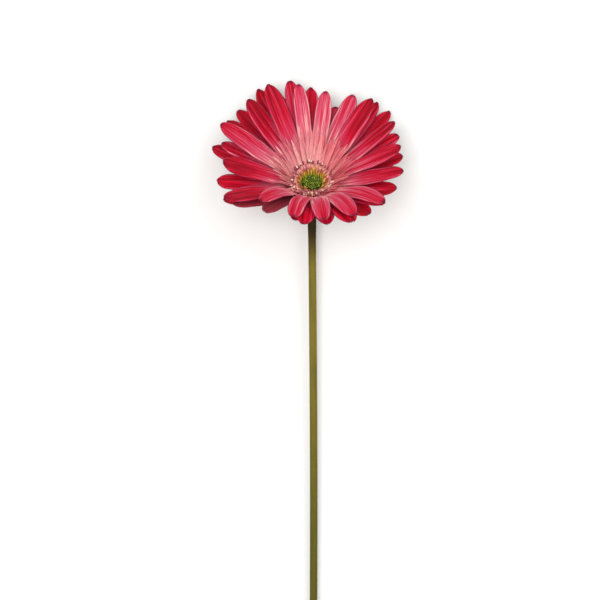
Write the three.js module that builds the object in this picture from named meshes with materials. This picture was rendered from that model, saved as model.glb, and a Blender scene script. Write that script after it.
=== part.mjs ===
// A cut gerbera: one bare stalk and its flower head, lying on a flat surface.
// Millimetres, +Z up. The stalk runs along Y with the head at the +Y end, and the origin is the
// centre of the part's box on the surface. The head faces up and forward, so the flower leans
// on its stalk's cut end and on the tips of the rays at its far side.
//
// The head has a frame of its own: Z is the flower's axis, Y its far side and X its right side.
// Every ray, bract and floret is drawn there by its distance from the axis and its height on it.

import * as THREE from "three";

// ---- Driving dimensions ----

const HEAD_TILT = 50; // degrees between the flower's axis and the stalk
const HEAD_HEIGHT = 22.8; // from the surface to the middle of the receptacle's top

const NECK_LENGTH = 2; // straight part of the stalk under the head
const NECK_BEND = 12; // radius of the bend that follows it
const STALK_REACH = 372; // from the bend's lower end to the cut, along Y
const STALK_BOW = 1.2; // how far the stalk bows sideways half way along
const STALK_RADII = { neck: 3.0, middle: 2.4, cut: 2.3 };
const NECK_SWELL = 34; // length over which the stalk thickens towards the head
const CUT_SLANT = 0.45; // rise of the cut face over its run

const RECEPTACLE = { depth: 10, foot: 3.1, waist: 4.2, brim: 11.4, top: 9.7, crown: 0.6 };
const BRIM_HEIGHT = -5; // where the receptacle's side starts, below its top
const SIDE_LEAN = 0.3; // how far the side leans in for each millimetre up

const JOINT_GAP = 0.3; // clearance between neighbouring pieces

const CLAW = { length: 15, angle: 62 }; // the steep foot of each ray
const SEATS = [-4.6, -3.3, -2.0, -0.7]; // height of each whorl's seat on the receptacle's side
const SEAT_CLEARANCE = 0.58; // from the side to a ray's midline
const RAY_THICKNESS = 0.6;
const RAY_FOOT_WIDTH = 3.0;

// ---- The rays ----
// Each ray is [whorl, azimuth, length, rise, droop, width]. Whorl 0 sits lowest on the
// receptacle. The azimuth is clockwise from the far side, the rise is the slope past the foot,
// and the droop is how much of that slope the ray has lost at its tip. Angles are in degrees.

const OUTER_RAYS = [
  [0, 359.5, 58.5, 23.5, 0, 9.5],
  [1, 16, 47, 22, 0, 10.5],
  [0, 25, 54.5, 17.5, 0, 10.5],
  [1, 38, 60.5, 17.5, 0, 11],
  [0, 43.5, 61.5, 14, 0, 9.5],
  [1, 63.5, 53, 16, 0, 10.5],
  [0, 74, 49.5, 12, 0, 12],
  [1, 89, 47.5, 14, 0, 11.5],
  [0, 106.5, 45.5, 16, 0, 13.5],
  [1, 127, 49.5, 32, 24, 12],
  [0, 139.5, 47, 34, 29, 13],
  [1, 155.5, 52, 39, 37, 13],
  [0, 171, 46, 42, 42, 13],
  [1, 186.5, 48.5, 43, 44, 12.5],
  [0, 194, 39.5, 41, 38, 9.5],
  [1, 216, 46.5, 36, 22, 11.5],
  [1, 236, 50, 19, 2, 12.5],
  [0, 248, 49.5, 12, 0, 13],
  [1, 262.5, 50.5, 12.5, 0, 14.5],
  [0, 289, 56.5, 13, 0, 13.5],
  [1, 305, 58, 17, 0, 12],
  [0, 317.5, 60, 15.5, 0, 11.5],
  [1, 332, 64, 21, 0, 11.5],
  [0, 340.5, 58.5, 21, 0, 10.5],
];

const INNER_RAYS = [
  [3, 352, 56, 35, 0, 9.5],
  [3, 10.5, 52, 34, 0, 10],
  [2, 27.5, 55, 30, 0, 12],
  [3, 40, 57, 30, 0, 12],
  [2, 59, 55.5, 23, 0, 10.5],
  [3, 77.5, 51, 23, 0, 11],
  [2, 94.5, 49, 17, 0, 11.5],
  [3, 129, 50.5, 33, 29, 11.5],
  [3, 152, 51, 41.5, 43, 12],
  [3, 172, 51, 44.5, 44, 11.5],
  [3, 192, 49.5, 46.5, 46, 10.5],
  [3, 221, 45.5, 41.5, 28, 11.5],
  [2, 241, 54, 22, 8, 12.5],
  [3, 270, 49, 21, 0, 14],
  [2, 287, 52, 20, 0, 12],
  [3, 294.5, 58.5, 25, 0, 13.5],
  [2, 318.5, 58.5, 28, 0, 12.5],
  [3, 333, 60.5, 33, 0, 12.5],
  [2, 346, 60, 32, 0, 10],
];

// ---- Materials ----

const finish = (color, roughness) =>
  new THREE.MeshStandardMaterial({ color, roughness, metalness: 0 });

const OUTER_RAY = finish(0xb01024, 0.6);
const INNER_RAY = finish(0xcf3b52, 0.55);
const SHORT_RAY = finish(0xee9c9a, 0.6);
const OUTER_FLORET = finish(0xd98f8a, 0.6);
const INNER_FLORET = finish(0xbd8a3a, 0.6);
const BUD = finish(0x5a6a12, 0.65);
const BRACT = finish(0x5c6b2a, 0.7);
const STALK = finish(0x7a7134, 0.6);

// ---- Shapes ----

const radians = THREE.MathUtils.degToRad;
const smooth = (x) => THREE.MathUtils.smoothstep(x, 0, 1);

// A point of the head: its distance from the flower's axis, its azimuth and its height.
function headPoint(radius, azimuth, height) {
  return new THREE.Vector3(radius * Math.sin(azimuth), radius * Math.cos(azimuth), height);
}

// A closed solid through loops of points that all have the same count. It is capped at both
// ends, or joined back to its first loop when it goes all the way round.
function loft(loops, goesRound = false) {
  const count = loops[0].length;
  const corner = (loop, point) => (loop % loops.length) * count + (point % count);
  const faces = [];
  const spans = goesRound ? loops.length : loops.length - 1;
  for (let i = 0; i < spans; i++) {
    for (let j = 0; j < count; j++) {
      const a = corner(i, j);
      const b = corner(i, j + 1);
      const c = corner(i + 1, j + 1);
      const d = corner(i + 1, j);
      faces.push(a, b, c, a, c, d);
    }
  }
  if (!goesRound) {
    const last = loops.length - 1;
    for (let j = 1; j < count - 1; j++) {
      faces.push(corner(0, 0), corner(0, j + 1), corner(0, j));
      faces.push(corner(last, 0), corner(last, j), corner(last, j + 1));
    }
  }
  const geometry = new THREE.BufferGeometry().setFromPoints(loops.flat());
  geometry.setIndex(faces);
  geometry.computeVertexNormals();
  return geometry;
}

// A solid turned about the flower's axis from a profile of [radius, height] points.
function turned(profile, sides) {
  const points = profile.map(([radius, height]) => new THREE.Vector2(radius, height));
  return new THREE.LatheGeometry(points, sides).rotateX(Math.PI / 2);
}

// The receptacle's side, as the distance from the axis at a height.
const sideRadius = (height) => RECEPTACLE.brim - (height - BRIM_HEIGHT) * SIDE_LEAN;

// Where a whorl's rays start: just off the receptacle's side, square to it.
function seatOf(whorl) {
  const height = SEATS[whorl];
  const off = SEAT_CLEARANCE / Math.hypot(1, SIDE_LEAN);
  return { radius: sideRadius(height) + off, height: height + off * SIDE_LEAN };
}

// A ray's midline as stations from its seat to its tip, at shares of its length. The slope
// eases from the steep foot to the ray's own rise, and droops over the outer two thirds.
function rayLine(whorl, length, rise, droop, shares) {
  const STEPS = 200;
  const DROOP_FROM = 0.35;
  const line = [];
  let { radius, height } = seatOf(whorl);
  for (let i = 0; i <= STEPS; i++) {
    const share = i / STEPS;
    const foot = 1 - smooth((share * length) / CLAW.length);
    const bent = smooth((share - DROOP_FROM) / (1 - DROOP_FROM));
    const slope = radians(rise + (CLAW.angle - rise) * foot - droop * bent);
    if (share >= shares[line.length]) line.push({ radius, height, slope, share });
    radius += (Math.cos(slope) * length) / STEPS;
    height += (Math.sin(slope) * length) / STEPS;
  }
  return line;
}

// Half the width of a ray at a share of its length: a narrow foot, a broad blade, a blunt tip.
function halfWidth(width, share) {
  const WIDEST = 0.66;
  const foot = RAY_FOOT_WIDTH / 2;
  const swell = Math.sin((Math.PI / 2) * Math.min(share / WIDEST, 1)) ** 1.4;
  const past = Math.max(0, (share - WIDEST) / (1 - WIDEST));
  return (foot + (width / 2 - foot) * swell) * Math.sqrt(Math.max(0, 1 - past ** 3.4));
}

// A strap petal: a thin blade that wraps a little round the flower's axis. Its section is a
// lens, thickest at the midrib.
function rayGeometry([whorl, azimuth, length, rise, droop, width]) {
  const SHARES = [0, 0.1, 0.22, 0.38, 0.56, 0.74, 0.88, 0.96, 1];
  const LANES = 4;
  const TIP_SHARE = 0.99;
  const line = rayLine(whorl, length, rise, droop, SHARES);
  const loops = line.map(({ radius, height, slope, share }) => {
    const half = halfWidth(width, Math.min(share, TIP_SHARE));
    const at = (lane, side) => {
      const turn = radians(azimuth) + (half * lane) / radius;
      const up = (side * RAY_THICKNESS * (1 - lane * lane)) / 2;
      return headPoint(radius - Math.sin(slope) * up, turn, height + Math.cos(slope) * up);
    };
    const upper = [];
    const lower = [];
    for (let j = 0; j <= LANES; j++) upper.push(at((2 * j) / LANES - 1, 1));
    for (let j = LANES - 1; j > 0; j--) lower.push(at((2 * j) / LANES - 1, -1));
    return [...upper, ...lower];
  });
  return loft(loops);
}

// A ring of narrow pieces that share one foot, such as short rays, florets or bracts. Its wall
// follows a profile of [radius, height] points, and every second line of it stops short, which
// leaves a row of teeth.
function crownGeometry({ profile, teeth, notch, thickness }) {
  const path = new THREE.SplineCurve(profile.map(([r, h]) => new THREE.Vector2(r, h)));
  const WALL_STEPS = 4;
  const loops = [];
  for (let i = 0; i < 2 * teeth; i++) {
    const azimuth = (Math.PI * i) / teeth;
    const end = i % 2 ? 1 - notch : 1;
    const outside = [];
    const inside = [];
    for (let j = 0; j <= WALL_STEPS; j++) {
      const share = (end * j) / WALL_STEPS;
      const point = path.getPoint(share);
      const along = path.getTangent(share);
      const half = (thickness / 2) * (j === WALL_STEPS ? 0.4 : 1);
      outside.push(headPoint(point.x + along.y * half, azimuth, point.y - along.x * half));
      inside.push(headPoint(point.x - along.y * half, azimuth, point.y + along.x * half));
    }
    loops.push([...outside, ...inside.reverse()]);
  }
  return loft(loops, true);
}

// The green bed that carries every floret: a foot as wide as the stalk, a flared underside, a
// side that holds the rays and a slightly domed top.
function receptacleGeometry() {
  const { depth, foot, waist, brim, top, crown } = RECEPTACLE;
  const profile = [
    [0, -depth],
    [foot, -depth],
    [waist, -depth + 1.2],
    [(waist + brim) / 2, (BRIM_HEIGHT - depth) / 2 + 0.4],
    [brim - 0.8, BRIM_HEIGHT - 0.9],
    [brim, BRIM_HEIGHT],
    [sideRadius(-0.2), -0.2],
    [top, 0],
    [top / 2, crown * 0.75],
    [0, crown],
  ];
  return turned(profile, 36);
}

// The closed buds at the heart of the disc, as one low cushion.
function budGeometry() {
  const profile = [
    [0, 1.0],
    [4.0, 1.0],
    [5.2, 1.6],
    [6.0, 3.1],
    [5.7, 3.9],
    [4.0, 4.5],
    [0, 4.3],
  ];
  return turned(profile, 28);
}

// The stalk's centreline in the part's frame, at a distance from its upper end. It leaves the
// head along the flower's axis, bends into line with Y, and sinks to the surface in a slight bow.
function stalkCentre(distance) {
  const tilt = radians(HEAD_TILT);
  const headward = new THREE.Vector3(0, Math.cos(tilt), Math.sin(tilt));
  const centre = new THREE.Vector3(0, 0, HEAD_HEIGHT);
  const straight = Math.min(distance, NECK_LENGTH);
  centre.addScaledVector(headward, -(RECEPTACLE.depth + JOINT_GAP + straight));
  const bent = THREE.MathUtils.clamp((distance - NECK_LENGTH) / NECK_BEND, 0, tilt);
  centre.y -= NECK_BEND * (Math.sin(tilt) - Math.sin(tilt - bent));
  centre.z -= NECK_BEND * (Math.cos(tilt - bent) - Math.cos(tilt));
  const run = Math.max(0, distance - NECK_LENGTH - NECK_BEND * tilt);
  const share = run / STALK_REACH;
  centre.x = STALK_BOW * Math.sin(Math.PI * share);
  centre.y -= run;
  centre.z = THREE.MathUtils.lerp(centre.z, STALK_RADII.cut, share ** 2 * (3 - 2 * share));
  return centre;
}

function stalkRadius(distance, length) {
  const { neck, middle, cut } = STALK_RADII;
  const swell = 1 - smooth(distance / NECK_SWELL);
  return THREE.MathUtils.lerp(middle, cut, distance / length) + (neck - middle) * swell;
}

function stalkGeometry() {
  const SIDES = 12;
  const NECK_RINGS = 10;
  const RINGS = 26;
  const length = NECK_LENGTH + NECK_BEND * radians(HEAD_TILT) + STALK_REACH;
  const loops = [];
  for (let i = 0; i <= RINGS; i++) {
    const bend = Math.min(i, NECK_RINGS) / NECK_RINGS;
    const rest = Math.max(0, i - NECK_RINGS) / (RINGS - NECK_RINGS);
    const distance = bend * NECK_SWELL + rest * (length - NECK_SWELL);
    const centre = stalkCentre(distance);
    const next = stalkCentre(Math.min(distance + 0.1, length));
    const along = next.sub(stalkCentre(distance - 0.1)).normalize();
    const across = new THREE.Vector3(1, 0, 0).addScaledVector(along, -along.x).normalize();
    const above = new THREE.Vector3().crossVectors(along, across);
    const radius = stalkRadius(distance, length);
    const slant = i === RINGS ? CUT_SLANT : 0;
    const loop = [];
    for (let j = 0; j < SIDES; j++) {
      const turn = (2 * Math.PI * j) / SIDES;
      const height = Math.sin(turn) * radius;
      loop.push(
        centre
          .clone()
          .addScaledVector(across, Math.cos(turn) * radius)
          .addScaledVector(above, height)
          .addScaledVector(along, -slant * height),
      );
    }
    loops.push(loop);
  }
  return loft(loops);
}

// ---- The crowns round the rays ----

const SHORT_RAYS = {
  profile: [[9.4, 0.9], [11.0, 3.8], [14.0, 7.8], [18.0, 13.0], [23.2, 18.2]],
  teeth: 22,
  notch: 0.3,
  thickness: 0.6,
};
const OUTER_DISC = {
  profile: [[8.2, 0.9], [8.7, 3.4], [10.3, 6.4], [13.2, 9.0]],
  teeth: 26,
  notch: 0.14,
  thickness: 0.8,
};
const INNER_DISC = {
  profile: [[6.7, 0.9], [7.0, 3.0], [7.9, 5.4], [9.9, 7.4]],
  teeth: 22,
  notch: 0.14,
  thickness: 0.8,
};
const INNER_BRACTS = {
  profile: [[4.9, -9.6], [8.4, -8.3], [12.2, -6.2], [13.9, -3.6], [15.1, -1.2]],
  teeth: 18,
  notch: 0.3,
  thickness: 0.6,
};
const OUTER_BRACTS = {
  profile: [[4.9, -11.1], [8.8, -9.9], [13.1, -7.6], [15.3, -4.7], [16.6, -2.4]],
  teeth: 15,
  notch: 0.35,
  thickness: 0.6,
};

// ---- Assembly ----

function piece(name, geometry, material) {
  const mesh = new THREE.Mesh(geometry, material);
  mesh.name = name;
  return mesh;
}

const numbered = (name, index) => `${name}_${String(index + 1).padStart(2, "0")}`;

const head = new THREE.Group();
head.rotation.x = -radians(90 - HEAD_TILT);
head.position.z = HEAD_HEIGHT;
head.add(
  piece("receptacle", receptacleGeometry(), BRACT),
  piece("outer_bracts", crownGeometry(OUTER_BRACTS), BRACT),
  piece("inner_bracts", crownGeometry(INNER_BRACTS), BRACT),
  piece("short_rays", crownGeometry(SHORT_RAYS), SHORT_RAY),
  piece("outer_disc_florets", crownGeometry(OUTER_DISC), OUTER_FLORET),
  piece("inner_disc_florets", crownGeometry(INNER_DISC), INNER_FLORET),
  piece("disc_buds", budGeometry(), BUD),
);
OUTER_RAYS.forEach((ray, i) =>
  head.add(piece(numbered("outer_ray", i), rayGeometry(ray), OUTER_RAY)),
);
INNER_RAYS.forEach((ray, i) =>
  head.add(piece(numbered("inner_ray", i), rayGeometry(ray), INNER_RAY)),
);

const flower = new THREE.Group();
flower.add(piece("stalk", stalkGeometry(), STALK), head);
flower.updateMatrixWorld(true);

const box = new THREE.Box3().setFromObject(flower, true);
const middle = box.getCenter(new THREE.Vector3());
flower.position.set(-middle.x, -middle.y, -box.min.z);

export default flower;
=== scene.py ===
"""A cut gerbera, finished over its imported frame.

Metres, with the frame's own axes: +Z up from the surface and the stalk along Y, with the head at
its +Y end. The head also has axes of its own, as the part's source has: Z is the flower's axis,
Y its far side and X its right side. What grows in the head is drawn there in millimetres, by its
distance from the axis, its azimuth clockwise from the far side, and its height on the axis.
"""

import math
import random

import bpy
import numpy as np
from bpy.props import FloatProperty, FloatVectorProperty, IntProperty, PointerProperty
from mathutils import Matrix, Vector


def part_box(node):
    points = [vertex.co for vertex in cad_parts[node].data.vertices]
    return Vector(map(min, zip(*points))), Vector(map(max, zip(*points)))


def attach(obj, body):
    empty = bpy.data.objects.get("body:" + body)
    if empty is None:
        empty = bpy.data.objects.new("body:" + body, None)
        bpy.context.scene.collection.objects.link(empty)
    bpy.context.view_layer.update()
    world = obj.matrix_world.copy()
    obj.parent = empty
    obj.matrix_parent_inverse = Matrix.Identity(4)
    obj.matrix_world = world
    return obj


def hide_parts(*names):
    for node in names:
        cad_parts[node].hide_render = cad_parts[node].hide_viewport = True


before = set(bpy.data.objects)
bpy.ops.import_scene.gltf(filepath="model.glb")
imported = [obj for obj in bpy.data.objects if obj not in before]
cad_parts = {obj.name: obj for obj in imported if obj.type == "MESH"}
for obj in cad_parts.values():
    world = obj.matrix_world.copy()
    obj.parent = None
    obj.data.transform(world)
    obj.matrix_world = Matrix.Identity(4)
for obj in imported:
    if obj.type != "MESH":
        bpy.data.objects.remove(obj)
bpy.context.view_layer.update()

bl_info = {
    "name": "Cut gerbera",
    "version": (1, 0, 0),
    "blender": (4, 5, 0),
    "location": "3D Viewport > Sidebar > Gerbera",
    "description": "Finishes the stalk, rays, florets and bracts of a cut gerbera",
    "category": "Object",
}

MM = 0.001
FULL_TURN = 2 * math.pi
MATH = "ShaderNodeMath"

# ---- The part's own dimensions, in millimetres and degrees ----

HEAD_TILT = 50
NECK_LENGTH = 2
NECK_BEND = 12
STALK_REACH = 372
STALK_BOW = 1.2
STALK_RADII = {"neck": 3.0, "middle": 2.4, "cut": 2.3}
NECK_SWELL = 34
CUT_SLANT = 0.45
JOINT_GAP = 0.3
RECEPTACLE = {"depth": 10, "brim": 11.4, "crown": 0.6}
BRIM_HEIGHT = -5
SIDE_LEAN = 0.3
CLAW_LENGTH = 15
CLAW_ANGLE = 62
SEATS = (-4.6, -3.3, -2.0, -0.7)
SEAT_CLEARANCE = 0.58
RAY_FOOT_WIDTH = 3.0
RAY_WIDEST = 0.66
DROOP_FROM = 0.35
# How many ridges there are from a ray's midrib to its edge.
RIDGES = 1.5
# The least height of a ray above the surface.
REST_HEIGHT = 0.05

# Each ray is (whorl, azimuth, length, rise, droop, width, blush), with its blush from 0 in
# crimson to 1 in pale pink.
OUTER_RAYS = (
    (0, 359.5, 58.5, 23.5, 0, 9.5, 0.4),
    (1, 16, 47, 22, 0, 10.5, 0.6),
    (0, 25, 54.5, 17.5, 0, 10.5, 0.3),
    (1, 38, 60.5, 17.5, 0, 11, 0.15),
    (0, 43.5, 61.5, 14, 0, 9.5, 0.2),
    (1, 63.5, 53, 16, 0, 10.5, 0.3),
    (0, 74, 49.5, 12, 0, 12, 0.1),
    (1, 89, 47.5, 14, 0, 11.5, 0.2),
    (0, 106.5, 45.5, 16, 0, 13.5, 0),
    (1, 127, 49.5, 32, 24, 12, 0),
    (0, 139.5, 47, 34, 29, 13, 0.05),
    (1, 155.5, 52, 39, 37, 13, 0.05),
    (0, 171, 46, 42, 42, 13, 0.3),
    (1, 186.5, 48.5, 43, 44, 12.5, 0.2),
    (0, 194, 39.5, 41, 38, 9.5, 0.1),
    (1, 216, 46.5, 36, 22, 11.5, 0.1),
    (1, 236, 50, 19, 2, 12.5, 0.1),
    (0, 248, 49.5, 12, 0, 13, 0.1),
    (1, 262.5, 50.5, 12.5, 0, 14.5, 0.1),
    (0, 289, 56.5, 13, 0, 13.5, 0.05),
    (1, 305, 58, 17, 0, 12, 0),
    (0, 317.5, 60, 15.5, 0, 11.5, 0.1),
    (1, 332, 64, 21, 0, 11.5, 0.05),
    (0, 340.5, 58.5, 21, 0, 10.5, 0.1),
)
INNER_RAYS = (
    (3, 352, 56, 35, 0, 9.5, 0.82),
    (3, 10.5, 52, 34, 0, 10, 0.8),
    (2, 27.5, 55, 30, 0, 12, 0.75),
    (3, 40, 57, 30, 0, 12, 0.12),
    (2, 59, 55.5, 23, 0, 10.5, 0.2),
    (3, 77.5, 51, 23, 0, 11, 0.18),
    (2, 94.5, 49, 17, 0, 11.5, 0.28),
    (3, 129, 50.5, 33, 29, 11.5, 0.38),
    (3, 152, 51, 41.5, 43, 12, 0.5),
    (3, 172, 51, 44.5, 44, 11.5, 0.55),
    (3, 192, 49.5, 46.5, 46, 10.5, 0.5),
    (3, 221, 45.5, 41.5, 28, 11.5, 0.55),
    (2, 241, 54, 22, 8, 12.5, 0.0),
    (3, 270, 49, 21, 0, 14, 0.05),
    (2, 287, 52, 20, 0, 12, 0.45),
    (3, 294.5, 58.5, 25, 0, 13.5, 0.5),
    (2, 318.5, 58.5, 28, 0, 12.5, 0.2),
    (3, 333, 60.5, 33, 0, 12.5, 0.2),
    (2, 346, 60, 32, 0, 10, 0.5),
)

# Rays whose upper face takes the duller colour of a ray's back, with how much of it. Only the
# colour is given; the rays keep their shape.
BACK_ON_TOP = {"outer_ray_16": 1.0, "outer_ray_17": 0.8}

# ---- Colours ----


def linear(hexadecimal):
    """The linear colour of an sRGB hex string."""
    channels = [int(hexadecimal[i : i + 2], 16) / 255 for i in (1, 3, 5)]
    return tuple(c / 12.92 if c <= 0.04045 else ((c + 0.055) / 1.055) ** 2.4 for c in channels)


def rgba(colour):
    """A socket as it is, or the opaque colour of a hex string or of three linear channels."""
    if isinstance(colour, bpy.types.NodeSocket):
        return colour
    return (*(linear(colour) if isinstance(colour, str) else colour), 1)


def colour_property(name, description, hexadecimal):
    return FloatVectorProperty(
        name=name,
        description=description,
        default=linear(hexadecimal),
        subtype="COLOR",
        size=3,
        min=0,
        max=1,
    )


def size_property(name, description, default, unit="NONE"):
    return FloatProperty(name=name, description=description, default=default, unit=unit)


def count_property(name, description, default):
    return IntProperty(name=name, description=description, default=default, min=3)


class RaySettings(bpy.types.PropertyGroup):
    """The strap petals, outer and inner."""

    thickness: size_property("Thickness", "At a petal's midrib, in millimetres", 0.38)
    ridge_depth: size_property("Ridge depth", "Of the ridges along a petal, in millimetres", 0.22)
    edge_wave: size_property("Edge wave", "Up and down, in millimetres", 0.45)
    streaks: size_property("Streaks", "How much paler or deeper a petal's streaks are", 0.42)
    outer_deep: colour_property("Outer shade", "Deepest crimson of the outer rays", "#9c0016")
    outer_body: colour_property("Outer rays", "Crimson of the outer rays", "#d8002c")
    inner_deep: colour_property("Inner shade", "Deepest crimson of the inner rays", "#92001a")
    inner_body: colour_property("Inner rays", "Crimson of the inner rays", "#c2042a")
    rose: colour_property("Rose", "Rays with some blush", "#ca3250")
    pink: colour_property("Pink", "Rays with much blush", "#d65e76")
    pale: colour_property("Pale", "Foot of every ray", "#f4a8a4")
    # Painted shade: the dark hairline along each ray's edge and at its tip.
    margin: colour_property("Margin", "Hairline at a ray's edge", "#6b1030")
    underside: colour_property("Underside", "Duller back of a ray", "#80303a")


class DiscSettings(bpy.types.PropertyGroup):
    """What stands inside the rays. Every count but that of the buds is for one ring."""

    short_rays: count_property("Short rays", "Pale narrow rays in each of four rings", 44)
    open_florets: count_property("Open florets", "Florets in each ring of the disc's rim", 36)
    golden_florets: count_property("Golden florets", "Florets in each ring of the crater", 30)
    buds: count_property("Buds", "Closed buds at the heart of the disc", 76)
    short_ray_colour: colour_property("Short rays", "Foot of the short rays", "#f4a298")
    lip_colour: colour_property("Lips", "Pale lips of the open florets", "#ffb8a4")
    anther_colour: colour_property("Anthers", "Wine-red column of an open floret", "#8c2a40")
    pollen_colour: colour_property("Pollen", "Tip of an open floret's column", "#ffe2c6")
    gold_colour: colour_property("Gold", "Florets that line the crater", "#e8cb48")
    bud_colour: colour_property("Buds", "Closed buds", "#5f860c")


class GreenSettings(bpy.types.PropertyGroup):
    """The stalk, the bracts and the bed under the flower."""

    bracts: count_property("Bracts", "Scales in each row under the rays", 20)
    stalk_colour: colour_property("Stalk", "Skin of the stalk", "#796c28")
    # The neck's dark brown is partly the stalk's own colour and partly painted shade of the head.
    neck_and_shade_colour: colour_property("Neck", "Skin of the stalk under the head", "#2c1d04")
    pith_colour: colour_property("Pith", "Cut face of the stalk", "#b7bd7c")
    bract_colour: colour_property("Bracts", "Scales under the rays", "#5d6b2c")


class StageSettings(bpy.types.PropertyGroup):
    """The floor, the lights and the camera."""

    camera_height: size_property("Camera height", "From mid-head up to the camera", 1.2, "LENGTH")
    view_width: size_property("View width", "Width of the view at the head", 0.3612, "LENGTH")
    floor_colour: colour_property("Floor", "Plain pale floor", "#f4f4f2")


# ---- Meshes ----

HEAD_AXIS = Vector((0, math.cos(math.radians(HEAD_TILT)), math.sin(math.radians(HEAD_TILT))))


def head_place():
    """The matrix from the head's axes, in metres, to the row frame."""
    top = max(
        (Vector(v.co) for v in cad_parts["receptacle"].data.vertices), key=HEAD_AXIS.dot
    )
    centre = top - HEAD_AXIS * RECEPTACLE["crown"] * MM
    centre.x = sum(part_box("receptacle")[end][0] for end in (0, 1)) / 2
    return Matrix.Translation(centre) @ Matrix.Rotation(math.radians(HEAD_TILT - 90), 4, "X")


HEAD = head_place()


def smooth(x):
    """Smoothstep of an array or a number."""
    x = np.clip(x, 0, 1)
    return x * x * (3 - 2 * x)


def new_object(name, vertices, faces, attributes=None):
    """A smooth-shaded mesh object. Each attribute is an array with a value for each vertex."""
    mesh = bpy.data.meshes.new(name)
    mesh.from_pydata([tuple(v) for v in vertices], [], faces)
    for key, values in (attributes or {}).items():
        values = np.asarray(values, dtype=float)
        kind, field = ("FLOAT", "value") if values.ndim == 1 else ("FLOAT_VECTOR", "vector")
        mesh.attributes.new(key, kind, "POINT").data.foreach_set(field, values.ravel())
    mesh.polygons.foreach_set("use_smooth", [True] * len(mesh.polygons))
    mesh.update()
    piece = bpy.data.objects.new(name, mesh)
    bpy.context.scene.collection.objects.link(piece)
    return piece


def finish_piece(piece, nodes, material=None):
    """Puts a piece that stands for CAD nodes under the root body, gives it a material if one is
    given, and hides those nodes.
    """
    if material:
        piece.data.materials.clear()
        piece.data.materials.append(material)
    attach(piece, "root")
    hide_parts(*nodes)


def check_fit(piece, node, slack=3 * MM):
    """Stops the script if a piece strays from the CAD node that it stands for."""
    low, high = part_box(node)
    points = np.array([v.co for v in piece.data.vertices])
    stray = max(np.max(np.array(low) - points.min(0)), np.max(points.max(0) - np.array(high)))
    if stray > slack:
        raise RuntimeError(f"{piece.name} leaves {node} by {stray / MM:.1f} mm")


def slab_faces(rows, columns):
    """Faces of a closed slab between two grids, an upper and then a lower one."""
    lower = rows * columns
    faces = []
    for i in range(rows - 1):
        for j in range(columns - 1):
            a = i * columns + j
            quad = (a, a + 1, a + columns + 1, a + columns)
            faces.append(quad)
            faces.append(tuple(lower + corner for corner in reversed(quad)))
    rim = list(range(columns))
    rim += [i * columns + columns - 1 for i in range(1, rows)]
    rim += [(rows - 1) * columns + j for j in range(columns - 2, -1, -1)]
    rim += [i * columns for i in range(rows - 2, 0, -1)]
    for a, b in zip(rim, rim[1:] + rim[:1]):
        faces.append((b, a, lower + a, lower + b))
    return faces


def tube_faces(rings, sides):
    """Faces of a tube through rings of points, closed by a face at each end."""
    faces = []
    for i in range(rings - 1):
        for j in range(sides):
            a = i * sides + j
            b = i * sides + (j + 1) % sides
            faces.append((a, b, b + sides, a + sides))
    faces.append(tuple(reversed(range(sides))))
    faces.append(tuple((rings - 1) * sides + j for j in range(sides)))
    return faces


def head_points(radius, azimuth, height):
    """Points of the head in the row frame, from millimetres and radians."""
    local = np.stack([radius * np.sin(azimuth), radius * np.cos(azimuth), height], axis=-1) * MM
    matrix = np.array(HEAD)
    return local.reshape(-1, 3) @ matrix[:3, :3].T + matrix[:3, 3]


# ---- Rays ----


def side_radius(height):
    """The receptacle's side, as the distance from the axis at a height."""
    return RECEPTACLE["brim"] - (height - BRIM_HEIGHT) * SIDE_LEAN


def ray_line(whorl, length, rise, droop, steps=240):
    """A ray's midline from its seat: arc length, radius, height and slope."""
    off = SEAT_CLEARANCE / math.hypot(1, SIDE_LEAN)
    share = np.arange(steps + 1) / steps
    foot = 1 - smooth(share * length / CLAW_LENGTH)
    bent = smooth((share - DROOP_FROM) / (1 - DROOP_FROM))
    slope = np.radians(rise + (CLAW_ANGLE - rise) * foot - droop * bent)
    step = length / steps
    radius = np.cumsum(np.cos(slope)) * step - np.cos(slope) * step
    height = np.cumsum(np.sin(slope)) * step - np.sin(slope) * step
    radius += side_radius(SEATS[whorl]) + off
    height += SEATS[whorl] + off * SIDE_LEAN
    return share * length, radius, height, slope


def half_width(width, share, bluntness):
    """Half the width of a ray at a share of its length."""
    foot = RAY_FOOT_WIDTH / 2
    swell = np.sin(math.pi / 2 * np.minimum(share / RAY_WIDEST, 1))
    past = np.maximum(0, (share - RAY_WIDEST) / (1 - RAY_WIDEST))
    return (foot + (width / 2 - foot) * swell) * np.sqrt(np.maximum(0, 1 - past**bluntness))


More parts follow.
